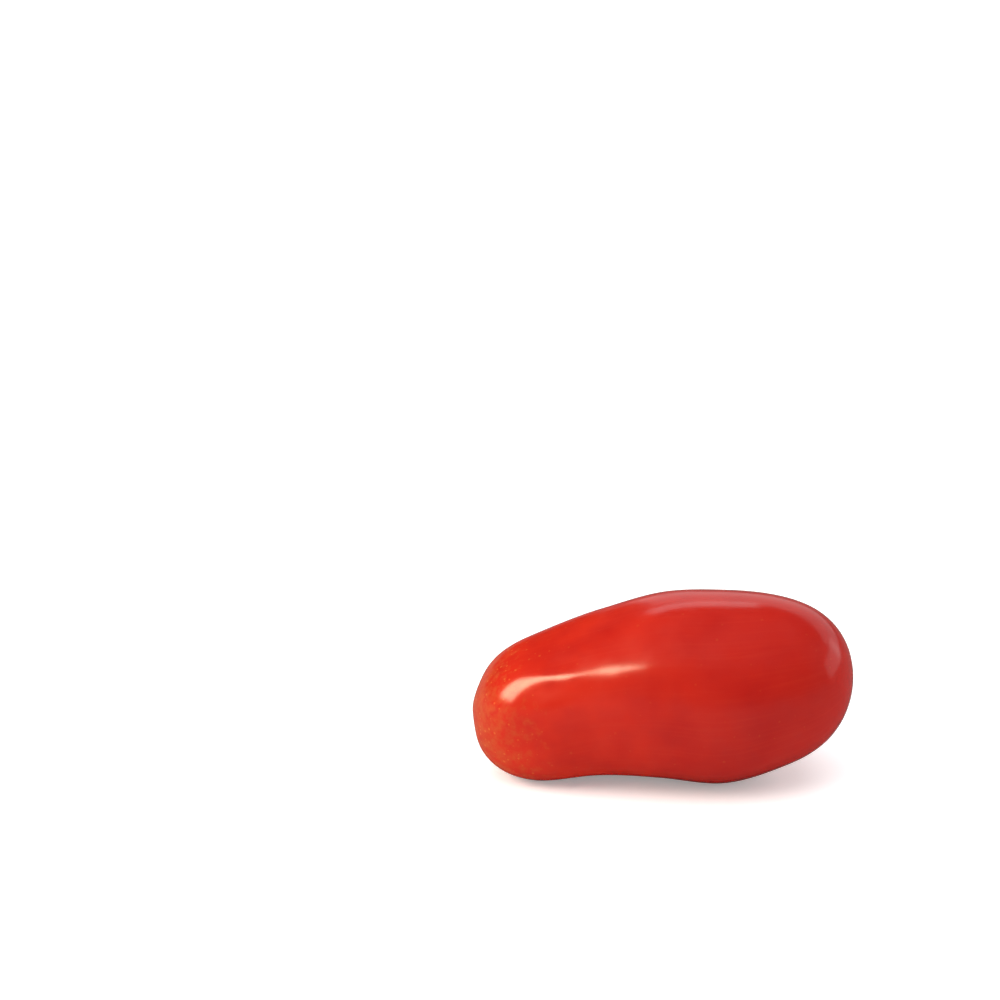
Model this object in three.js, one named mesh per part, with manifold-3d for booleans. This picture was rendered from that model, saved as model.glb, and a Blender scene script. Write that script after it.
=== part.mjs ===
// A plum tomato, as picked, lying on its side on a table.
//
// Millimetres, +Z up. The stem end points along -X and the blossom end along +X. The
// origin lies on the table, under the middle of the fruit. The fruit is one solid: it
// grew as one piece, and its calyx has come away and left a dry scar.

import * as THREE from 'three';
import { mergeVertices } from 'three/addons/utils/BufferGeometryUtils.js';
import Module from 'manifold-3d';

const wasm = await Module();
wasm.setup();

// ---- Driving dimensions ----

const LENGTH = 78; // stem end to blossom end
const FLATTENING = 0.2; // how deep the skin is pressed flat where the fruit rests

// The fruit's outline in equal steps from the stem end to the blossom end. Fullness is
// the half-thickness that the flesh would have if the ends weren't rounded off, and
// lift is the height of the fruit's middle. The neck is slim and low, the belly is full.
const STATIONS = [
  { fullness: 24.3, lift: 12.8 },
  { fullness: 19.8, lift: 14.3 },
  { fullness: 17.8, lift: 17.9 },
  { fullness: 19.0, lift: 19.9 },
  { fullness: 21.0, lift: 19.8 },
  { fullness: 22.8, lift: 21.3 },
  { fullness: 26.5, lift: 22.2 },
];

// The neck is a rounded square with four soft ridges. They fade out into the belly.
const RIDGES = 4;
const RIDGE_ANGLE = THREE.MathUtils.degToRad(50); // the front one, from the top
const RIDGE_RISE = 0.03; // share of the half-thickness
const RIDGES_FULL = -0.55; // place along the fruit, -1 at the stem end to 1
const RIDGES_GONE = 0.35;

// The fruit hung from its stem and carried its flower a little to one side of its long
// axis: how far each end's middle leans back (+Y) and up (+Z) from that axis.
const STEM_LEAN = { back: 14, up: -6 };
const BLOSSOM_LEAN = { back: 9, up: 5 };

// The hollow that the stem came out of, and the shallow furrows that run into it.
const STEM_HOLLOW = { depth: 1.3, radius: 4.2 };
const FURROWS = 5;
const FURROW = { depth: 0.35, centre: 6.5, width: 3.5 };
const FURROW_ANGLE = THREE.MathUtils.degToRad(20);

// The small hollow that the flower fell from.
const BLOSSOM_HOLLOW = { depth: 0.4, radius: 2.2 };

const FACETS_AROUND = 48;
const FACETS_ALONG = 40;

const Y_AXIS = new THREE.Vector3(0, 1, 0);
const Z_AXIS = new THREE.Vector3(0, 0, 1);

// ---- Shape ----

const outline = new THREE.CatmullRomCurve3(
  STATIONS.map((station) => new THREE.Vector3(0, station.fullness, station.lift)),
  false,
  'catmullrom',
  0.5,
);

/** How deep a round hollow is at a distance from its middle. */
function hollow({ depth, radius }, distance) {
  return depth * Math.exp(-((distance / radius) ** 2));
}

/** How far the ridges swell the section, as a factor. Angle runs from the top forwards. */
function ridges(along, angle) {
  const strength = THREE.MathUtils.smoothstep(-along, -RIDGES_GONE, -RIDGES_FULL);
  return 1 + RIDGE_RISE * strength * Math.cos(RIDGES * (angle - RIDGE_ANGLE));
}

/** How deep the furrows around the stem end are at a distance from its middle. */
function furrows(angle, distance) {
  const across = (1 + Math.cos(FURROWS * (angle - FURROW_ANGLE))) / 2;
  const reach = Math.exp(-(((distance - FURROW.centre) / FURROW.width) ** 2));
  return FURROW.depth * across * reach;
}

/** Leans a point on the unit sphere over with the end of the fruit that it belongs to. */
function leanOver(unit) {
  const lean = unit.x < 0 ? STEM_LEAN : BLOSSOM_LEAN;
  const share = THREE.MathUtils.smoothstep(Math.abs(unit.x), 0, 1) * Math.sign(unit.x);
  const back = THREE.MathUtils.degToRad(lean.back * share);
  const up = THREE.MathUtils.degToRad(lean.up * share);
  return unit.clone().applyAxisAngle(Z_AXIS, back).applyAxisAngle(Y_AXIS, -up);
}

/** Turns a point on a unit sphere into the point of the skin that it stands for. */
function skinPoint(unit) {
  const end = Math.sign(unit.x) || 1;
  const leaned = leanOver(unit);
  const angle = Math.atan2(-leaned.y, leaned.z);
  const { y: fullness, z: lift } = outline.getPoint((leaned.x + 1) / 2);
  const radius = Math.hypot(leaned.y, leaned.z) * fullness * ridges(leaned.x, angle);
  const skin = new THREE.Vector3(
    (leaned.x * LENGTH) / 2,
    -radius * Math.sin(angle),
    lift + radius * Math.cos(angle),
  );

  const distance = Math.hypot(unit.y, unit.z) * fullness;
  let sink = hollow(BLOSSOM_HOLLOW, distance);
  if (end < 0) {
    sink = hollow(STEM_HOLLOW, distance) + furrows(Math.atan2(-unit.y, unit.z), distance);
  }
  const outwards = leanOver(new THREE.Vector3(end, 0, 0));
  return skin.addScaledVector(outwards, -sink);
}

/** The whole fruit, centred over the origin, with its lowest skin just below the table. */
function wholeFruit() {
  const geometry = new THREE.SphereGeometry(1, FACETS_AROUND, FACETS_ALONG);
  geometry.rotateZ(Math.PI / 2); // the sphere's poles become the fruit's two ends
  const position = geometry.attributes.position;
  const point = new THREE.Vector3();
  for (let i = 0; i < position.count; i += 1) {
    const skin = skinPoint(point.fromBufferAttribute(position, i));
    position.setXYZ(i, skin.x, skin.y, skin.z);
  }
  geometry.computeBoundingBox();
  const { min, max } = geometry.boundingBox;
  geometry.translate(-(min.x + max.x) / 2, -(min.y + max.y) / 2, -min.z - FLATTENING);
  return geometry;
}

// ---- Solids ----

/** A closed geometry as a solid that can be cut. */
function toSolid(geometry) {
  geometry.deleteAttribute('normal');
  geometry.deleteAttribute('uv');
  const merged = mergeVertices(geometry);
  return new wasm.Manifold(
    new wasm.Mesh({
      numProp: 3,
      vertProperties: new Float32Array(merged.attributes.position.array),
      triVerts: new Uint32Array(merged.index.array),
    }),
  );
}

/** A solid as a geometry that can be shown. */
function toGeometry(solid) {
  const { vertProperties, triVerts } = solid.getMesh();
  const geometry = new THREE.BufferGeometry();
  geometry.setAttribute('position', new THREE.BufferAttribute(vertProperties, 3));
  geometry.setIndex(new THREE.BufferAttribute(triVerts, 1));
  geometry.computeVertexNormals();
  return geometry;
}

/** The table under the fruit: what is below z = 0 is pressed away. */
function tableSolid() {
  const geometry = new THREE.BoxGeometry(2 * LENGTH, 2 * LENGTH, LENGTH);
  geometry.translate(0, 0, -LENGTH / 2);
  return toSolid(geometry);
}

// ---- The part ----

const skin = new THREE.MeshStandardMaterial({
  color: 0xc9241c,
  roughness: 0.25,
  metalness: 0,
});

const tomato = new THREE.Mesh(
  toGeometry(toSolid(wholeFruit()).subtract(tableSolid())),
  skin,
);
tomato.name = 'tomato';

const part = new THREE.Group();
part.add(tomato);

export default part;
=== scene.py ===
# %% [markdown]
# # A plum tomato
#
# A ripe plum tomato lies on its side on a pale table. It is one fruit that grew as one
# piece: a slim neck behind the stem scar, a full belly, a thin waxy skin over wet red
# flesh. The CAD model already holds its size, its place and its plain shape. This lesson
# makes the skin that the eye sees around that shape: its soft ridges, its dry stem scar,
# the small mark where the flower sat, and the colours and gloss of a ripe fruit.
#
# Everything is in metres, with +Z up, the stem end towards -X and the blossom end
# towards +X. The table is at z = 0.

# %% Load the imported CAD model
import math

import bmesh
import bpy
from mathutils import Matrix, Vector, noise


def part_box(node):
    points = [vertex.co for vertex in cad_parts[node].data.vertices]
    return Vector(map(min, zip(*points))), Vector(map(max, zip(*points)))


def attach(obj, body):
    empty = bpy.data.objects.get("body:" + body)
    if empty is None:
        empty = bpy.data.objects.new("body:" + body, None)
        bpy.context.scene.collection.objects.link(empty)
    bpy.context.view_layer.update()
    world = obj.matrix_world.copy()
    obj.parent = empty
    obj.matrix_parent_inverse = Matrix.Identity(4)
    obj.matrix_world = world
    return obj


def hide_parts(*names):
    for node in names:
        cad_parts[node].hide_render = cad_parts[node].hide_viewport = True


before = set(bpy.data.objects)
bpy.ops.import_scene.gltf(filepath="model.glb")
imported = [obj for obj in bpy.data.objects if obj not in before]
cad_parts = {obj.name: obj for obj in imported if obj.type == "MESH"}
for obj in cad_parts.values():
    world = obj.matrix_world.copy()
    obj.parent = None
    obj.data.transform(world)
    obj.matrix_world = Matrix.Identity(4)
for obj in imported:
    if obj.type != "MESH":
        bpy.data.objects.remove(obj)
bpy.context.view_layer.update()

MM = 0.001
fruit_low, fruit_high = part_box("tomato")
fruit_size = fruit_high - fruit_low
print("CAD fruit, mm:", [round(side / MM, 2) for side in fruit_size])

# %% [markdown]
# ## Three small helpers
#
# Colours are picked as sRGB hex values, the way a painter reads them off a screen, while
# the renderer works in linear light, so one function turns one into the other. Shader
# graphs are long when every setting takes a line, so one more function adds a node, sets
# its values and links its inputs in a single call. The third is the soft step that fades
# one shape into the next.

# %% Colour and node helpers
def linear(hex_colour):
    """An sRGB colour such as "#c8281e" as the linear RGBA that the renderer works in."""
    channels = []
    for start in (1, 3, 5):
        value = int(hex_colour[start:start + 2], 16) / 255
        channels.append(value / 12.92 if value <= 0.04045 else ((value + 0.055) / 1.055) ** 2.4)
    return (*channels, 1.0)


def add_node(tree, kind, settings=None, values=None, links=None):
    """Adds a shader node, sets its properties and socket values, and links its inputs."""
    node = tree.nodes.new(kind)
    for name, value in (settings or {}).items():
        setattr(node, name, value)
    for socket, value in (values or {}).items():
        node.inputs[socket].default_value = value
    for socket, source in (links or {}).items():
        tree.links.new(source, node.inputs[socket])
    return node


def smooth_step(value, start, end):
    """Rises smoothly from 0 at start to 1 at end."""
    share = min(max((value - start) / (end - start), 0.0), 1.0)
    return share * share * (3 - 2 * share)


# %% [markdown]
# ## The camera
#
# The fruit is small and is seen from slightly above, as it would be on a shop's packing
# table, through a long lens that keeps its outline free of distortion. It lies low and to
# the right of the middle of the frame. The lens is aimed beside it instead of being
# shifted, so the camera can be walked round the fruit without a shift to undo.

# %% Place the camera
VIEW_AZIMUTH = math.radians(1.2)
VIEW_ELEVATION = math.radians(25)
LENS = 166
SENSOR = 36
DISTANCE = 945.6 * MM
AIM_LEFT = 33.9 * MM
AIM_UP = 38 * MM
FRUIT_MIDDLE_HEIGHT = 19 * MM

fruit_middle = Vector((0, 0, FRUIT_MIDDLE_HEIGHT))
backwards = Vector((
    math.sin(VIEW_AZIMUTH) * math.cos(VIEW_ELEVATION),
    -math.cos(VIEW_AZIMUTH) * math.cos(VIEW_ELEVATION),
    math.sin(VIEW_ELEVATION),
))
right = Vector((math.cos(VIEW_AZIMUTH), math.sin(VIEW_AZIMUTH), 0))
up = right.cross(-backwards)
camera_place = fruit_middle + backwards * DISTANCE
aim = fruit_middle - right * AIM_LEFT + up * AIM_UP

camera_data = bpy.data.cameras.new("camera")
camera_data.lens = LENS
camera_data.sensor_width = SENSOR
camera = bpy.data.objects.new("camera", camera_data)
camera.location = camera_place
camera.rotation_euler = (aim - camera_place).to_track_quat("-Z", "Y").to_euler()
bpy.context.scene.collection.objects.link(camera)
bpy.context.scene.camera = camera
print("camera at, m:", [round(value, 3) for value in camera_place])

# %% [markdown]
# ## Table and light
#
# A glossy red fruit shows its surroundings twice: in its shading and in its reflections.
# A wide softbox high on the left lights the skin. A twin in the same place, which only
# gloss can see, draws the warm highlight along the front ridge, so the gloss and the
# shading can be set apart. A backdrop behind the table draws the pale band along the
# upper edge, a strip above it gives that band its lower line, and a low card at the right
# softens the blossom end. A side card and an overhead light fill the shade, and gloss
# doesn't see them or the dim room, so the red stays deep.
#
# The board under the fruit is a plain matt white. It looks darker in the gloss than it
# is, as it would through a polarising filter, and it glows a little, like a light table,
# which keeps the shadow pale.

# %% Build the table and the lights
TABLE_HALF = 2.5
TABLE_DROP = 0.02 * MM
BOARD_WHITE, BOARD_IN_GLOSS, BOARD_GLOW, BOARD_ROUGHNESS = "#fafafa", "#6a6a6a", 0.27, 0.9
ROOM_WHITE, ROOM_STRENGTH = "#ffffff", 0.3

# Name, degrees round to the camera's right, degrees up, metres away, width and height in
# metres, brightness, colour, and what sees it.
LIGHTS = [
    ("key_softbox", -67, 34, 1.6, 1.42, 0.95, 6.1, "#fff4e8", "everything"),
    ("key_gloss", -67, 34, 1.6, 1.42, 0.95, 48.0, "#ffddae", "gloss"),
    ("backdrop", 156, 21, 1.8, 2.7, 1.1, 0.85, "#ffffff", "everything"),
    ("rear_strip", -171, 40, 1.8, 0.8, 0.34, 2.1, "#ffffff", "everything"),
    ("end_card", 109, 11, 1.6, 1.16, 0.56, 1.15, "#ffffff", "everything"),
    ("side_card", 100, 24, 1.6, 2.0, 1.2, 1.4, "#ffffff", "shading"),
    ("overhead_fill", 0, 84, 2.2, 3.0, 3.0, 1.6, "#fbfcff", "shading"),
]


def aim_light(name, azimuth, elevation, distance, width, height, strength, colour, seen_by):
    """A soft rectangular light that faces the fruit. Strength is how bright its face is."""
    data = bpy.data.lights.new(name, "AREA")
    data.shape = "RECTANGLE"
    data.size = width
    data.size_y = height
    data.energy = strength * math.pi * width * height
    data.color = linear(colour)[:3]
    light = bpy.data.objects.new(name, data)
    turn, rise = math.radians(azimuth), math.radians(elevation)
    direction = Vector((
        math.sin(turn) * math.cos(rise), -math.cos(turn) * math.cos(rise), math.sin(rise)
    ))
    light.location = fruit_middle + direction * distance
    light.rotation_euler = direction.to_track_quat("Z", "Y").to_euler()
    light.visible_diffuse = seen_by != "gloss"
    light.visible_glossy = seen_by != "shading"
    bpy.context.scene.collection.objects.link(light)


table_mesh = bmesh.new()
bmesh.ops.create_grid(table_mesh, x_segments=1, y_segments=1, size=TABLE_HALF)
bmesh.ops.translate(table_mesh, verts=table_mesh.verts, vec=(0, 0, -TABLE_DROP))
table_data = bpy.data.meshes.new("table")
table_mesh.to_mesh(table_data)
table_mesh.free()
table = bpy.data.objects.new("table", table_data)
bpy.context.scene.collection.objects.link(table)

table_paint = bpy.data.materials.new("matt_white_board")
table_paint.use_nodes = True
board = table_paint.node_tree.nodes["Principled BSDF"]
board.inputs["Roughness"].default_value = BOARD_ROUGHNESS
board.inputs["Specular IOR Level"].default_value = 0.0
board_tree = table_paint.node_tree
ray = add_node(board_tree, "ShaderNodeLightPath")
board_colour = add_node(
    board_tree, "ShaderNodeMix", {"data_type": "RGBA"},
    {6: linear(BOARD_WHITE), 7: linear(BOARD_IN_GLOSS)}, {0: ray.outputs["Is Glossy Ray"]},
)
board_tree.links.new(board_colour.outputs[2], board.inputs["Base Color"])
board_glow = add_node(
    board_tree, "ShaderNodeMath", {"operation": "MULTIPLY"}, {1: BOARD_GLOW},
    {0: ray.outputs["Is Camera Ray"]},
)
board_tree.links.new(board_glow.outputs["Value"], board.inputs["Emission Strength"])
table_data.materials.append(table_paint)

for light_row in LIGHTS:
    aim_light(*light_row)
print("lights:", len(LIGHTS))

room = bpy.data.worlds.new("dim_room")
room.use_nodes = True
room_light = room.node_tree.nodes["Background"]
room_light.inputs["Color"].default_value = linear(ROOM_WHITE)
room_light.inputs["Strength"].default_value = ROOM_STRENGTH
room.cycles_visibility.glossy = False
bpy.context.scene.world = room
bpy.context.scene.view_settings.view_transform = "Standard"

# %% [markdown]
# ## The form of the fruit
#
# The fruit could be sculpted, or lofted through a few circles. Here a bmesh sphere is
# pulled into shape by one function, because a fruit is a sphere at heart: every point of
# the skin lies on a meridian that runs from the stem to the blossom, and the same
# function can then carry the ridges, the hollows and the marks along those meridians.
#
# The outline is given in equal steps from the stem end to the blossom end, the same ones
# as in the CAD model. Fullness is the half-thickness before the ends are rounded off, and
# lift is how high the middle of the fruit lies. A Catmull-Rom curve runs through them.

# %% The outline along the fruit
LENGTH = 78 * MM
FLATTENING = 0.2 * MM
FULLNESS = [value * MM for value in (24.3, 19.8, 17.8, 19.0, 21.0, 22.8, 26.5)]
LIFT = [value * MM for value in (12.8, 14.3, 17.9, 19.9, 19.8, 21.3, 22.2)]


def along_curve(values, place):
    """The smooth curve through evenly spaced values, at a place from 0 to 1."""
    padded = [2 * values[0] - values[1], *values, 2 * values[-1] - values[-2]]
    step = min(int(place * (len(values) - 1)), len(values) - 2)
    t = place * (len(values) - 1) - step
    before, start, end, after = padded[step:step + 4]
    bend = 2 * before - 5 * start + 4 * end - after
    twist = 3 * start - 3 * end + after - before
    return start + 0.5 * t * (end - before + t * (bend + t * twist))


print("belly radius, mm:", round(along_curve(FULLNESS, 0.62) / MM, 2))

# %% [markdown]
# The two ends are not quite on the long axis: the fruit hung from a stem set a little
# back and down, and its flower sat a little back and up. The unit sphere is leaned over
# at its ends before it is stretched, so its poles land on the two marks. Each lean is
# given in degrees, first back and then up.
#
# The neck of such a fruit is a rounded square. Four soft ridges run along it from the
# stem and fade into the belly, one of them on the upper front, where it catches light.

# %% Lean and ridges
STEM_LEAN = (14, -6)
BLOSSOM_LEAN = (9, 5)
RIDGES = 4
RIDGE_ANGLE = math.radians(50)
RIDGE_RISE = 0.03
RIDGES_FULL, RIDGES_GONE = 0.55, -0.35
CREST_RISE = 0.2 * MM
CREST_WIDTH = 2.4 * MM
CREST_ANGLES = [math.radians(angle) for angle in (140, 232, 318)]
CRESTS_FULL, CRESTS_GONE = 0.45, -0.05
END_FADE = 8 * MM


def lean_over(unit):
    """Leans a point of the unit sphere over with the end of the fruit it belongs to."""
    lean_back, lean_up = STEM_LEAN if unit.x < 0 else BLOSSOM_LEAN
    share = math.copysign(smooth_step(abs(unit.x), 0, 1), unit.x)
    turn_back = Matrix.Rotation(math.radians(lean_back * share), 3, "Z")
    turn_up = Matrix.Rotation(math.radians(-lean_up * share), 3, "Y")
    return turn_up @ (turn_back @ unit)


def crest_height(along, angle, radius):
    """How far the three plainer ridges' crests stand proud. They fade before the belly."""
    height = 0.0
    for crest_angle in CREST_ANGLES:
        gap = math.remainder(angle - crest_angle, 2 * math.pi) * radius
        height += math.exp(-((gap / CREST_WIDTH) ** 2) / 2)
    strength = smooth_step(-along, CRESTS_GONE, CRESTS_FULL) * smooth_step(radius, 0, END_FADE)
    return CREST_RISE * strength * height


# %% [markdown]
# The front ridge is the sharp one, and it isn't straight. From the belly it runs along the
# neck, climbs a little, and then bends down round the shoulder to the stem end. Each row
# below gives its place along the fruit, its angle from the top in degrees, how far it
# stands proud and how wide it is, both in mm. A narrow crest draws a thin highlight, a
# wide one a broad highlight. The rows become a fine line, and the line is blurred by its
# own width into a smooth swelling, so that no crease is left where it bends.

# %% The front ridge
FRONT_RIDGE = [
    (0.14, 56, 0.00, 2.4),
    (0.00, 55, 0.25, 2.2),
    (-0.12, 54.5, 0.42, 2.1),
    (-0.23, 53.5, 0.52, 2.3),
    (-0.33, 52.5, 0.60, 2.9),
    (-0.41, 51.5, 0.72, 2.0),
    (-0.49, 49.5, 0.72, 1.4),
    (-0.58, 46.5, 0.74, 1.3),
    (-0.67, 42.5, 0.80, 1.9),
    (-0.75, 42.5, 1.25, 3.3),
    (-0.81, 50, 1.70, 4.0),
    (-0.845, 63, 2.00, 4.1),
    (-0.865, 79, 1.50, 3.6),
    (-0.885, 95, 0.00, 2.6),
]
RIDGE_STEPS = 60
RIDGE_MIDDLE, RIDGE_REACH, RIDGE_FADE = math.radians(60), math.radians(85), math.radians(25)
RIDGE_END = 0.25
POLE_CLEAR = 2 * MM

ridge_line = []
for ridge_step in range(RIDGE_STEPS + 1):
    along, angle, rise, width = (
        along_curve(column, ridge_step / RIDGE_STEPS) for column in zip(*FRONT_RIDGE)
    )
    ridge_line.append((along * LENGTH / 2, math.radians(angle), rise * MM, width * MM))


def front_ridge_height(along, angle, radius):
    """How far the front ridge stands proud: its whole line, blurred by its own width."""
    to_side = RIDGE_REACH - abs(angle - RIDGE_MIDDLE)
    if along > RIDGE_END or to_side < 0:
        return 0.0
    height = 0.0
    for start, end in zip(ridge_line, ridge_line[1:]):
        stretch = math.hypot(end[0] - start[0], (end[1] - start[1]) * radius)
        gap = math.hypot(along * LENGTH / 2 - start[0], (angle - start[1]) * radius)
        rise, width = start[2:]
        height += rise * math.exp(-((gap / width) ** 2) / 2) * stretch / width
    fade = smooth_step(radius, POLE_CLEAR, END_FADE) * smooth_step(to_side, 0, RIDGE_FADE)
    return height * fade / math.sqrt(2 * math.pi)


NECK_RADIUS = 14 * MM
ridge_tops = [
    front_ridge_height(2 * way / LENGTH, angle, NECK_RADIUS) for way, angle, _, _ in ridge_line
]
print("front ridge, mm proud at most:", round(max(ridge_tops) / MM, 2))

# %% [markdown]
# The stem leaves a shallow hollow with a few furrows running into it, and in its middle
# the scar itself: a rough pad of dry cork about 3 mm across, where the stem broke away,
# inside a low lip. The flower leaves much less, a small hollow with a narrow seam of
# healed skin. Both are worked out from the distance to the mark and the angle round it.

# %% Hollows, scar and blossom mark
STEM_HOLLOW_DEPTH, STEM_HOLLOW_RADIUS = 1.3 * MM, 4.2 * MM
FURROWS = 5
FURROW_DEPTH, FURROW_CENTRE, FURROW_WIDTH = 0.35 * MM, 6.5 * MM, 3.5 * MM
FURROW_ANGLE = math.radians(20)
SCAR_RADIUS, SCAR_SQUARENESS, SCAR_RAGGEDNESS = 1.55 * MM, 0.07, 0.12
SCAR_CORNERS, SCAR_TURN, SCAR_NOTCHES = 4, 0.6, 2.4
PAD_RISE, PAD_INSET, PAD_OUTSET = 0.42 * MM, 0.25 * MM, 0.05 * MM
SOCKET_DEPTH, SOCKET_RADIUS = 0.55 * MM, 0.45 * MM
PAD_CRUMB_RISE, PAD_CRUMBS = 0.16 * MM, 76.8
CRUMB_ROUGHNESS, CRUMB_GAP, CRUMB_LAYERS = 0.6, 2.1, 4
GROOVE_DEPTH, GROOVE_CENTRE, GROOVE_WIDTH = 0.16 * MM, 0.22 * MM, 0.2 * MM
LIP_RISE, LIP_CENTRE, LIP_WIDTH = 0.14 * MM, 0.85 * MM, 0.42 * MM
CRACKS, CRACK_DEPTH, CRACK_CENTRE, CRACK_REACH = 9, 0.07 * MM, 0.9 * MM, 0.8 * MM
CRACK_SHARPNESS, CRACK_WANDER = 6, 2.5

BLOSSOM_HOLLOW_DEPTH, BLOSSOM_HOLLOW_RADIUS = 0.4 * MM, 2.2 * MM
SEAM_RISE, SEAM_LENGTH, SEAM_WIDTH = 0.34 * MM, 1.25 * MM, 0.36 * MM
SIDE_DEPTH, SIDE_CENTRE, SIDE_WIDTH, SIDE_LENGTH = 0.1 * MM, 0.75 * MM, 0.25 * MM, 1.5 * MM
PUCKERS, PUCKER_RISE, PUCKER_CENTRE, PUCKER_WIDTH = 9, 0.05 * MM, 2.2 * MM, 1.0 * MM


def bell(value, width):
    """A bell curve: 1 at 0, small beyond its width."""
    return math.exp(-((value / width) ** 2))


def scar_edge(angle):
    """How far the pad of the scar reaches at an angle: it is roughly square and ragged."""
    ragged = noise.noise(Vector((math.cos(angle), math.sin(angle), 0.3)) * SCAR_NOTCHES)
    squared = math.cos(SCAR_CORNERS * angle + SCAR_TURN)
    return SCAR_RADIUS * (1 + SCAR_SQUARENESS * squared + SCAR_RAGGEDNESS * ragged)


def stem_relief(distance, angle, unit):
    """Height of the skin around the stem's mark, above the plain rounded end."""
    across = (1 + math.cos(FURROWS * (angle - FURROW_ANGLE))) / 2
    furrow = FURROW_DEPTH * across * bell(distance - FURROW_CENTRE, FURROW_WIDTH)
    hollow = STEM_HOLLOW_DEPTH * bell(distance, STEM_HOLLOW_RADIUS)
    edge = scar_edge(angle)
    inside = 1 - smooth_step(distance, edge - PAD_INSET, edge + PAD_OUTSET)
    spot = Vector((unit.y, unit.z, 0)) * PAD_CRUMBS
    crumb = PAD_CRUMB_RISE * noise.fractal(spot, CRUMB_ROUGHNESS, CRUMB_GAP, CRUMB_LAYERS)
    pad = inside * (PAD_RISE + crumb - SOCKET_DEPTH * bell(distance, SOCKET_RADIUS))
    outside = distance - edge
    groove = GROOVE_DEPTH * bell(outside - GROOVE_CENTRE, GROOVE_WIDTH)
    lip = LIP_RISE * bell(outside - LIP_CENTRE, LIP_WIDTH)
    wander = CRACK_WANDER * noise.noise(Vector((angle, 0, 1)))
    crack_line = max(math.sin(CRACKS * angle + wander), 0) ** CRACK_SHARPNESS
    crack = CRACK_DEPTH * crack_line * bell(outside - CRACK_CENTRE, CRACK_REACH)
    return pad + lip - groove - crack - hollow - furrow


def blossom_relief(distance, angle):
    """Height of the skin around the flower's mark, above the plain rounded end."""
    hollow = BLOSSOM_HOLLOW_DEPTH * bell(distance, BLOSSOM_HOLLOW_RADIUS)
    long_way = distance * math.cos(angle)
    short_way = distance * math.sin(angle)
    seam = SEAM_RISE * bell(long_way, SEAM_LENGTH) * bell(short_way, SEAM_WIDTH)
    side = SIDE_DEPTH * bell(abs(short_way) - SIDE_CENTRE, SIDE_WIDTH)
    side *= bell(long_way, SIDE_LENGTH)
    pucker = PUCKER_RISE * math.cos(PUCKERS * angle)
    pucker *= bell(distance - PUCKER_CENTRE, PUCKER_WIDTH)
    return seam + pucker - side - hollow


print("scar, mm across:", round(2 * SCAR_RADIUS / MM, 1))

# %% [markdown]
# Real skin is never perfectly fair. Long, very shallow waves over the flesh bend its
# reflections, and without them a render looks like moulded plastic. They come last.

# %% One function for the whole skin
WAVE_HEIGHT, WAVE_LENGTH = 0.09 * MM, 13 * MM
WAVE_START = Vector((3.1, 0.4, 7.7))


def skin_point(unit):
    """The point of the skin, marks and all, that a point of the unit sphere stands for."""
    leaned = lean_over(unit)
    angle = math.atan2(-leaned.y, leaned.z)
    place = min(max((leaned.x + 1) / 2, 0.0), 1.0)
    fullness = along_curve(FULLNESS, place)
    ridge = RIDGE_RISE * smooth_step(-leaned.x, RIDGES_GONE, RIDGES_FULL)
    radius = math.hypot(leaned.y, leaned.z) * fullness
    radius *= 1 + ridge * math.cos(RIDGES * (angle - RIDGE_ANGLE))
    crests = crest_height(leaned.x, angle, radius)
    radius += crests + front_ridge_height(leaned.x, angle, radius)
    skin = Vector((
        leaned.x * LENGTH / 2,
        -radius * math.sin(angle),
        along_curve(LIFT, place) + radius * math.cos(angle),
    ))

    distance = math.hypot(unit.y, unit.z) * fullness
    mark_angle = math.atan2(-unit.y, unit.z)
    if unit.x < 0:
        outwards = stem_direction
        relief = stem_relief(distance, mark_angle, unit)
    else:
        outwards = blossom_direction
        relief = blossom_relief(distance, mark_angle)
    wave = WAVE_HEIGHT * noise.noise(skin / WAVE_LENGTH + WAVE_START)
    return skin + outwards * relief + leaned * wave


stem_direction = lean_over(Vector((-1, 0, 0)))
blossom_direction = lean_over(Vector((1, 0, 0)))
print("stem end faces:", [round(value, 2) for value in stem_direction])

# %% [markdown]
# ## Making the skin
#
# The sphere is made standing up and laid down, so its poles face the two ends. Its rings
# are then drawn closer together towards the poles, because the fine marks are there and
# the belly is smooth. After every point has moved, the fruit is centred over the origin
# and set down: what would reach below the table is pressed flat, as soft flesh is.
#
# Four measures are kept on the points: how far each lies from the stem and from the
# blossom along the skin, its place on the meridians, and whether it is inside the scar.
# The colours and the scar's material follow them.

# %% Shape the sphere into the fruit
AROUND, RINGS = 320, 240
CROWDING = 0.45
WAY_STEPS = 200
BELLY = FULLNESS[3]


def ways_along_skin():
    """How far the skin reaches from the stem at even steps of the turn to the blossom."""
    way, ways = 0.0, [0.0]
    for way_step in range(WAY_STEPS):
        turn = (way_step + 0.5) * math.pi / WAY_STEPS
        fullness = along_curve(FULLNESS, (1 - math.cos(turn)) / 2)
        slope = math.hypot(math.sin(turn) * LENGTH / 2, math.cos(turn) * fullness)
        way += slope * math.pi / WAY_STEPS
        ways.append(way)
    return ways


skin_ways = ways_along_skin()
print("skin from mark to mark, mm:", round(skin_ways[-1] / MM, 1))

fruit_mesh = bmesh.new()
bmesh.ops.create_uvsphere(fruit_mesh, u_segments=AROUND, v_segments=RINGS, radius=1)
bmesh.ops.rotate(
    fruit_mesh, verts=fruit_mesh.verts, cent=(0, 0, 0), matrix=Matrix.Rotation(-math.pi / 2, 3, "Y")
)
from_stem = fruit_mesh.verts.layers.float.new("from_stem")
from_blossom = fruit_mesh.verts.layers.float.new("from_blossom")
meridian = fruit_mesh.verts.layers.float_vector.new("meridian")
inside_scar = fruit_mesh.verts.layers.float.new("inside_scar")

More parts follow.
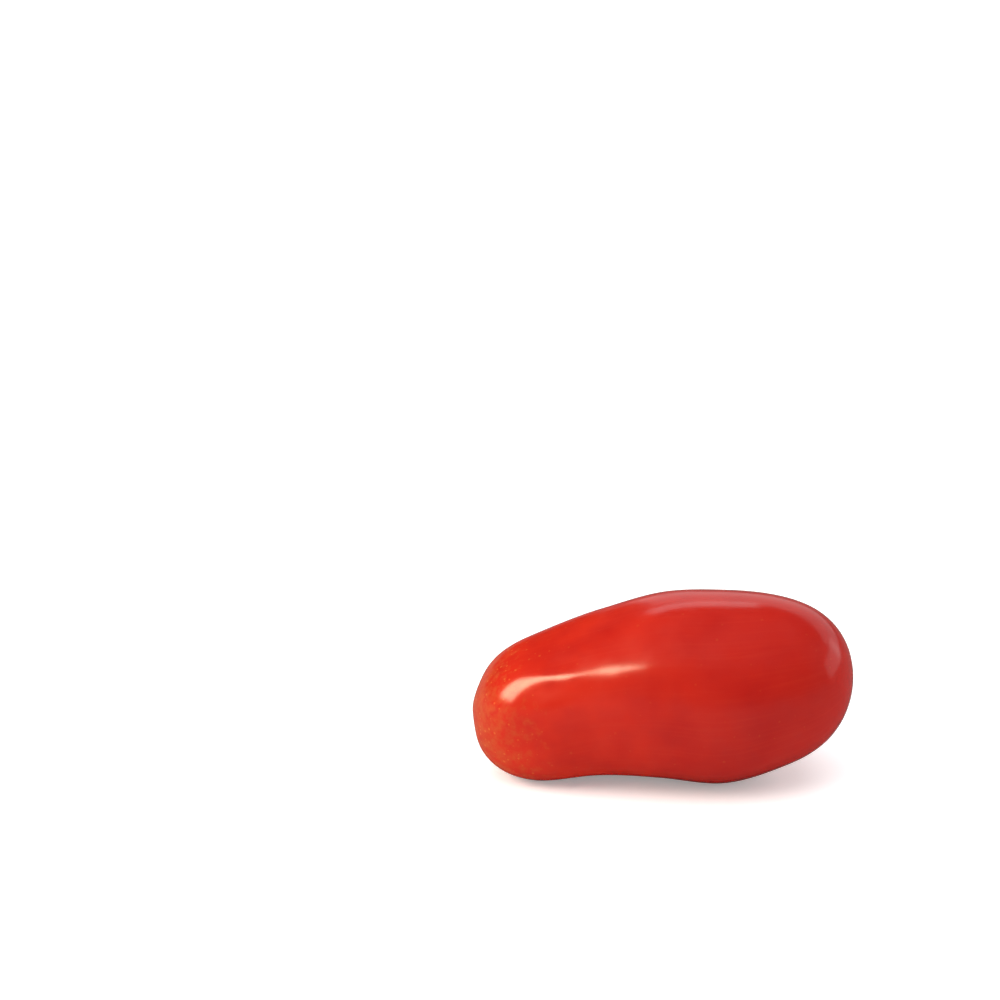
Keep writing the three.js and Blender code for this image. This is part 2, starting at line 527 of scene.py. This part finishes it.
for vert in fruit_mesh.verts:
    unit = vert.co.normalized()
    polar = math.acos(min(max(-unit.x, -1.0), 1.0))
    crowded = polar - CROWDING * math.sin(2 * polar) / 2
    ring = math.hypot(unit.y, unit.z)
    stretch = math.sin(crowded) / ring if ring > 1e-6 else 0.0
    unit = Vector((-math.cos(crowded), unit.y * stretch, unit.z * stretch))
    vert.co = skin_point(unit)
    round_angle = math.atan2(-unit.y, unit.z)
    distance = math.hypot(unit.y, unit.z) * along_curve(FULLNESS, (unit.x + 1) / 2)
    way_place = crowded * WAY_STEPS / math.pi
    way_step = min(int(way_place), WAY_STEPS - 1)
    way = skin_ways[way_step]
    way += (skin_ways[way_step + 1] - way) * (way_place - way_step)
    vert[from_stem] = way
    vert[from_blossom] = skin_ways[-1] - way
    vert[inside_scar] = float(unit.x < 0 and distance < scar_edge(round_angle))
    vert[meridian] = Vector((
        BELLY * math.cos(round_angle), BELLY * math.sin(round_angle), way
    ))

lows = [min(vert.co[axis] for vert in fruit_mesh.verts) for axis in range(3)]
highs = [max(vert.co[axis] for vert in fruit_mesh.verts) for axis in range(3)]
to_place = Vector((
    -(lows[0] + highs[0]) / 2, -(lows[1] + highs[1]) / 2, -lows[2] - FLATTENING
))
bmesh.ops.translate(fruit_mesh, verts=fruit_mesh.verts, vec=to_place)
for vert in fruit_mesh.verts:
    vert.co.z = max(vert.co.z, 0.0)
scar_faces = 0
for face in fruit_mesh.faces:
    face.smooth = True
    if all(vert[inside_scar] > 0.5 for vert in face.verts):
        face.material_index = 1
        scar_faces += 1
bmesh.ops.recalc_face_normals(fruit_mesh, faces=fruit_mesh.faces)
print("faces:", len(fruit_mesh.faces), "in the scar:", scar_faces)
print("volume, cm3:", round(fruit_mesh.calc_volume() * 1e6, 2))

fruit_data = bpy.data.meshes.new("tomato_skin")
fruit_mesh.to_mesh(fruit_data)
fruit_mesh.free()
tomato = bpy.data.objects.new("tomato_skin", fruit_data)
bpy.context.scene.collection.objects.link(tomato)

# %% [markdown]
# ## The skin's finish
#
# A ripe tomato's skin is a clear, waxy cuticle over red flesh. The wax gives a soft gloss
# like satin varnish, with an index of about 1.45, and the flesh under it scatters light a
# millimetre or two before giving it back, which softens the shading.
#
# The red isn't one red. The neck ripens last and stays a little more orange than the
# belly, wide cloudy patches differ slightly, and faint paler threads, the vessels just
# under the skin, run along the meridians. One colour is laid over another by mix nodes,
# each with its own mask, so each effect can be judged and changed alone.

# %% The reds of the flesh under the skin
NECK_RED, BELLY_RED = "#c02816", "#a81f17"
CLOUD_RED, THREAD_RED = "#9a1412", "#bc3322"
NECK_PLACE, BELLY_PLACE = -0.42 * LENGTH, 0.3 * LENGTH
CLOUD_SIZE, CLOUD_STRENGTH = 12 * MM, 0.55
THREAD_WIDTH, THREAD_LENGTH, THREAD_STRENGTH = 0.7 * MM, 16 * MM, 0.17

skin_finish = bpy.data.materials.new("ripe_tomato_cuticle")
skin_finish.use_nodes = True
tree = skin_finish.node_tree
skin = tree.nodes["Principled BSDF"]
place = add_node(tree, "ShaderNodeTexCoord").outputs["Object"]
stem_gap = add_node(tree, "ShaderNodeAttribute", {"attribute_name": "from_stem"}).outputs["Fac"]
blossom_gap = add_node(
    tree, "ShaderNodeAttribute", {"attribute_name": "from_blossom"}
).outputs["Fac"]
on_meridians = add_node(
    tree, "ShaderNodeAttribute", {"attribute_name": "meridian"}
).outputs["Vector"]

along_fruit = add_node(tree, "ShaderNodeSeparateXYZ", links={"Vector": place}).outputs["X"]
belly_share = add_node(
    tree, "ShaderNodeMapRange", {"interpolation_type": "SMOOTHSTEP"},
    {"From Min": NECK_PLACE, "From Max": BELLY_PLACE}, {"Value": along_fruit},
)
red = add_node(
    tree, "ShaderNodeMix", {"data_type": "RGBA"}, {6: linear(NECK_RED), 7: linear(BELLY_RED)},
    {0: belly_share.outputs["Result"]},
)
cloud = add_node(
    tree, "ShaderNodeTexNoise", values={"Scale": 1 / CLOUD_SIZE, "Detail": 3.0},
    links={"Vector": place},
)
cloud_share = add_node(
    tree, "ShaderNodeMapRange",
    values={"From Min": 0.42, "From Max": 0.72, "To Max": CLOUD_STRENGTH},
    links={"Value": cloud.outputs["Fac"]},
)
clouded = add_node(
    tree, "ShaderNodeMix", {"data_type": "RGBA"}, {7: linear(CLOUD_RED)},
    {0: cloud_share.outputs["Result"], 6: red.outputs[2]},
)
thread_space = add_node(
    tree, "ShaderNodeMapping",
    values={"Scale": (1 / THREAD_WIDTH, 1 / THREAD_WIDTH, 1 / THREAD_LENGTH)},
    links={"Vector": on_meridians},
)
thread = add_node(
    tree, "ShaderNodeTexNoise", values={"Scale": 1.0, "Detail": 2.0},
    links={"Vector": thread_space.outputs["Vector"]},
)
thread_share = add_node(
    tree, "ShaderNodeMapRange",
    values={"From Min": 0.5, "From Max": 0.8, "To Max": THREAD_STRENGTH},
    links={"Value": thread.outputs["Fac"]},
)
threaded = add_node(
    tree, "ShaderNodeMix", {"data_type": "RGBA"}, {7: linear(THREAD_RED)},
    {0: thread_share.outputs["Result"], 6: clouded.outputs[2]},
)
print("red layers:", NECK_RED, BELLY_RED, CLOUD_RED, THREAD_RED)

# %% [markdown]
# Round the stem the last green has turned orange in small mottles, thickest at the end
# and towards the bottom of the fruit, and gone four centimetres away. Over them lie
# fine golden flecks, the tiny corky pores of the skin. They crowd together near the stem
# and are few on the belly. Real ones are about 0.3 mm across; these are drawn at 0.3 to
# 0.65 mm, or most would be too fine to show.

# %% Orange mottles and golden flecks
MOTTLE_ORANGE, FLECK_GOLD = "#b85026", "#d8843e"
MOTTLE_NEAR, MOTTLE_FAR, MOTTLE_SIZE = 11 * MM, 39 * MM, 1.7 * MM
MOTTLE_STRENGTH, HIGH_MOTTLE_SHARE = 0.88, 0.45
FULL_MOTTLE_HEIGHT, THIN_MOTTLE_HEIGHT = 17 * MM, 31 * MM
FLECK_SPACING, FLECK_RADIUS, FLECK_EDGE = 1.0 * MM, 0.26 * MM, 0.14 * MM
FLECK_LARGEST, FLECK_SMALLEST = 0.8, 1.9
FLECKS_FEW, FLECKS_MANY = 0.06, 0.44
FLECKS_FAINT, FLECKS_CLEAR = 0.05, 0.34

near_stem = add_node(
    tree, "ShaderNodeMapRange", {"interpolation_type": "SMOOTHSTEP"},
    {"From Min": MOTTLE_FAR, "From Max": MOTTLE_NEAR}, {"Value": stem_gap},
)
mottle = add_node(
    tree, "ShaderNodeTexNoise",
    values={"Scale": 1 / MOTTLE_SIZE, "Detail": 4.0, "Roughness": 0.65},
    links={"Vector": place},
)
height = add_node(tree, "ShaderNodeSeparateXYZ", links={"Vector": place}).outputs["Z"]
# The mottles grow denser towards the bottom of the fruit, by height alone.
lower_side = add_node(
    tree, "ShaderNodeMapRange", {"interpolation_type": "SMOOTHSTEP"},
    {"From Min": THIN_MOTTLE_HEIGHT, "From Max": FULL_MOTTLE_HEIGHT, "To Min": HIGH_MOTTLE_SHARE}, {"Value": height},
)
mottle_reach = add_node(
    tree, "ShaderNodeMath", {"operation": "MULTIPLY"},
    links={0: near_stem.outputs["Result"], 1: lower_side.outputs["Result"]},
)
mottle_sum = add_node(
    tree, "ShaderNodeMath", {"operation": "MULTIPLY_ADD"}, {1: 0.5},
    {0: mottle_reach.outputs["Value"], 2: mottle.outputs["Fac"]},
)
mottle_share = add_node(
    tree, "ShaderNodeMapRange",
    values={"From Min": 0.7, "From Max": 1.18, "To Max": MOTTLE_STRENGTH},
    links={"Value": mottle_sum.outputs["Value"]},
)
mottled = add_node(
    tree, "ShaderNodeMix", {"data_type": "RGBA"}, {7: linear(MOTTLE_ORANGE)},
    {0: mottle_share.outputs["Result"], 6: threaded.outputs[2]},
)
fleck = add_node(
    tree, "ShaderNodeTexVoronoi", values={"Scale": 1 / FLECK_SPACING}, links={"Vector": place}
)
fleck_chance = add_node(
    tree, "ShaderNodeSeparateColor", links={"Color": fleck.outputs["Color"]}
)
fleck_shrink = add_node(
    tree, "ShaderNodeMapRange", values={"To Min": FLECK_LARGEST, "To Max": FLECK_SMALLEST},
    links={"Value": fleck_chance.outputs["Green"]},
)
fleck_distance = add_node(
    tree, "ShaderNodeMath", {"operation": "MULTIPLY"},
    links={0: fleck.outputs["Distance"], 1: fleck_shrink.outputs["Result"]},
)
fleck_spot = add_node(
    tree, "ShaderNodeMapRange",
    values={
        "From Min": (FLECK_RADIUS + FLECK_EDGE / 2) / FLECK_SPACING,
        "From Max": (FLECK_RADIUS - FLECK_EDGE / 2) / FLECK_SPACING,
    },
    links={"Value": fleck_distance.outputs["Value"]},
)
fleck_crowd = add_node(
    tree, "ShaderNodeMapRange", values={"To Min": FLECKS_FEW, "To Max": FLECKS_MANY},
    links={"Value": near_stem.outputs["Result"]},
)
fleck_here = add_node(
    tree, "ShaderNodeMath", {"operation": "LESS_THAN"},
    links={0: fleck_chance.outputs["Red"], 1: fleck_crowd.outputs["Result"]},
)
fleck_strength = add_node(
    tree, "ShaderNodeMapRange", values={"To Min": FLECKS_FAINT, "To Max": FLECKS_CLEAR},
    links={"Value": near_stem.outputs["Result"]},
)
fleck_shown = add_node(
    tree, "ShaderNodeMath", {"operation": "MULTIPLY"},
    links={0: fleck_spot.outputs["Result"], 1: fleck_here.outputs["Value"]},
)
fleck_share = add_node(
    tree, "ShaderNodeMath", {"operation": "MULTIPLY"},
    links={0: fleck_shown.outputs["Value"], 1: fleck_strength.outputs["Result"]},
)
flecked = add_node(
    tree, "ShaderNodeMix", {"data_type": "RGBA"}, {7: linear(FLECK_GOLD)},
    {0: fleck_share.outputs["Value"], 6: mottled.outputs[2]},
)
print("flecks per cm along a line:", round(10 * MM / FLECK_SPACING, 1))

# %% [markdown]
# The skin that healed against the stem is rusty brown cork, ragged at its edge. The mark
# of the flower has a small brown seam in a paler, orange spot. Both are laid on by the
# distance to the mark, and a little noise in that distance frays their edges.

# %% Rust round the stem, brown at the blossom mark
RUST, BLOSSOM_PALE, BLOSSOM_BROWN = "#762a14", "#c24a2a", "#6c3c1e"
RUST_INNER, RUST_OUTER, RUST_STRENGTH = 2.3 * MM, 4.2 * MM, 0.9
FRAY_SIZE, FRAY_DEPTH = 0.9 * MM, 1.6 * MM
PALE_INNER, PALE_OUTER, PALE_STRENGTH = 1.4 * MM, 3.6 * MM, 0.7
BROWN_INNER, BROWN_OUTER = 1.3 * MM, 1.9 * MM

fray = add_node(
    tree, "ShaderNodeTexNoise", values={"Scale": 1 / FRAY_SIZE, "Detail": 3.0},
    links={"Vector": place},
)
frayed_stem_gap = add_node(
    tree, "ShaderNodeMath", {"operation": "MULTIPLY_ADD"}, {1: FRAY_DEPTH},
    {0: fray.outputs["Fac"], 2: stem_gap},
)
rust_share = add_node(
    tree, "ShaderNodeMapRange",
    values={
        "From Min": RUST_OUTER + FRAY_DEPTH / 2, "From Max": RUST_INNER + FRAY_DEPTH / 2,
        "To Max": RUST_STRENGTH,
    },
    links={"Value": frayed_stem_gap.outputs["Value"]},
)
rusted = add_node(
    tree, "ShaderNodeMix", {"data_type": "RGBA"}, {7: linear(RUST)},
    {0: rust_share.outputs["Result"], 6: flecked.outputs[2]},
)
frayed_blossom_gap = add_node(
    tree, "ShaderNodeMath", {"operation": "MULTIPLY_ADD"}, {1: FRAY_DEPTH},
    {0: fray.outputs["Fac"], 2: blossom_gap},
)
pale_share = add_node(
    tree, "ShaderNodeMapRange",
    values={"From Min": PALE_OUTER, "From Max": PALE_INNER, "To Max": PALE_STRENGTH},
    links={"Value": frayed_blossom_gap.outputs["Value"]},
)
paled = add_node(
    tree, "ShaderNodeMix", {"data_type": "RGBA"}, {7: linear(BLOSSOM_PALE)},
    {0: pale_share.outputs["Result"], 6: rusted.outputs[2]},
)
seam_share = add_node(
    tree, "ShaderNodeMapRange",
    values={"From Min": BROWN_OUTER, "From Max": BROWN_INNER},
    links={"Value": frayed_blossom_gap.outputs["Value"]},
)
browned = add_node(
    tree, "ShaderNodeMix", {"data_type": "RGBA"}, {7: linear(BLOSSOM_BROWN)},
    {0: seam_share.outputs["Result"], 6: paled.outputs[2]},
)
tree.links.new(browned.outputs[2], skin.inputs["Base Color"])
print("rust ring, mm out from the stem:", round(RUST_OUTER / MM, 1))

# %% [markdown]
# The gloss is broken up in three sizes. The wax lies thicker in some patches, so the
# roughness drifts a little, and the rusty cork is duller still. The skin has a shallow
# ripple of 2 mm over the cells of the flesh. And the cells of the skin itself make a peel
# of 0.4 mm, a few thousandths of a millimetre deep, which frosts the edges of each
# highlight.

# %% Gloss, peel and the glow of the flesh
WAX_PATCH, WAX_SMOOTH, WAX_DULL, CORK_DULLER = 5 * MM, 0.14, 0.22, 0.35
RIPPLE_SIZE, RIPPLE_DEPTH = 2.2 * MM, 0.012 * MM
PEEL_SIZE, PEEL_DEPTH = 0.4 * MM, 0.005 * MM
WAX_IOR, WAX_SPECULAR = 1.45, 0.3
GLOW, GLOW_REACH, GLOW_BY_COLOUR = 0.15, 1.5 * MM, (1.0, 0.25, 0.15)

wax = add_node(
    tree, "ShaderNodeTexNoise", values={"Scale": 1 / WAX_PATCH, "Detail": 4.0},
    links={"Vector": place},
)
wax_roughness = add_node(
    tree, "ShaderNodeMapRange",
    values={"From Min": 0.3, "From Max": 0.7, "To Min": WAX_SMOOTH, "To Max": WAX_DULL},
    links={"Value": wax.outputs["Fac"]},
)
cork_roughness = add_node(
    tree, "ShaderNodeMath", {"operation": "MULTIPLY_ADD"}, {1: CORK_DULLER},
    {0: rust_share.outputs["Result"], 2: wax_roughness.outputs["Result"]},
)
tree.links.new(cork_roughness.outputs["Value"], skin.inputs["Roughness"])
ripple = add_node(
    tree, "ShaderNodeTexNoise", values={"Scale": 1 / RIPPLE_SIZE, "Detail": 1.0},
    links={"Vector": place},
)
ripple_bump = add_node(
    tree, "ShaderNodeBump", values={"Strength": 1.0, "Distance": RIPPLE_DEPTH},
    links={"Height": ripple.outputs["Fac"]},
)
peel = add_node(
    tree, "ShaderNodeTexNoise", values={"Scale": 1 / PEEL_SIZE, "Detail": 1.0},
    links={"Vector": place},
)
peel_bump = add_node(
    tree, "ShaderNodeBump", values={"Strength": 1.0, "Distance": PEEL_DEPTH},
    links={"Height": peel.outputs["Fac"], "Normal": ripple_bump.outputs["Normal"]},
)
tree.links.new(peel_bump.outputs["Normal"], skin.inputs["Normal"])
skin.inputs["IOR"].default_value = WAX_IOR
skin.inputs["Specular IOR Level"].default_value = WAX_SPECULAR
skin.inputs["Subsurface Weight"].default_value = GLOW
skin.inputs["Subsurface Radius"].default_value = GLOW_BY_COLOUR
skin.inputs["Subsurface Scale"].default_value = GLOW_REACH
fruit_data.materials.append(skin_finish)
print("skin nodes:", len(tree.nodes))

# %% [markdown]
# ## The dry scar
#
# The pad where the stem broke off is dead, dry tissue: dull olive brown and rough like the
# end of a twig, with painted shade in its pits, which are coloured nearly black where its
# bump sinks. It reflects almost no sharp light, so it is told from the skin at a glance.
# It is a second material on the faces inside the ragged edge.

# %% Dry cork of the stem scar
SCAR_DARK, SCAR_PALE = "#2e2814", "#6e5a36"
CRUMB_SIZE, CRUMB_DEPTH = 0.35 * MM, 0.06 * MM
CORK_ROUGHNESS, CORK_SPECULAR = 0.85, 0.3

scar_finish = bpy.data.materials.new("dry_stem_cork")
scar_finish.use_nodes = True
scar_tree = scar_finish.node_tree
cork = scar_tree.nodes["Principled BSDF"]
scar_place = add_node(scar_tree, "ShaderNodeTexCoord").outputs["Object"]
crumbs = add_node(
    scar_tree, "ShaderNodeTexNoise",
    values={"Scale": 1 / CRUMB_SIZE, "Detail": 4.0, "Roughness": 0.7},
    links={"Vector": scar_place},
)
crumb_share = add_node(
    scar_tree, "ShaderNodeMapRange", values={"From Min": 0.35, "From Max": 0.65},
    links={"Value": crumbs.outputs["Fac"]},
)
# Painted shade: the cork's olive brown follows the bump's noise and darkens to nearly black where
# the crumbs sink.
cork_and_pit_shade = add_node(
    scar_tree, "ShaderNodeMix", {"data_type": "RGBA"},
    {6: linear(SCAR_DARK), 7: linear(SCAR_PALE)}, {0: crumb_share.outputs["Result"]},
)
scar_tree.links.new(cork_and_pit_shade.outputs[2], cork.inputs["Base Color"])
crumb_bump = add_node(
    scar_tree, "ShaderNodeBump", values={"Strength": 1.0, "Distance": CRUMB_DEPTH},
    links={"Height": crumbs.outputs["Fac"]},
)
scar_tree.links.new(crumb_bump.outputs["Normal"], cork.inputs["Normal"])
cork.inputs["Roughness"].default_value = CORK_ROUGHNESS
cork.inputs["Specular IOR Level"].default_value = CORK_SPECULAR
fruit_data.materials.append(scar_finish)
print("materials on the fruit:", len(fruit_data.materials))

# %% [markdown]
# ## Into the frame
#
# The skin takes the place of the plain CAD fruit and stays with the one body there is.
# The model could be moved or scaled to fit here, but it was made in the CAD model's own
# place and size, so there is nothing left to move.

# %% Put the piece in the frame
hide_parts("tomato")
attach(tomato, "root")
print("pieces: 1, in place of the CAD tomato")
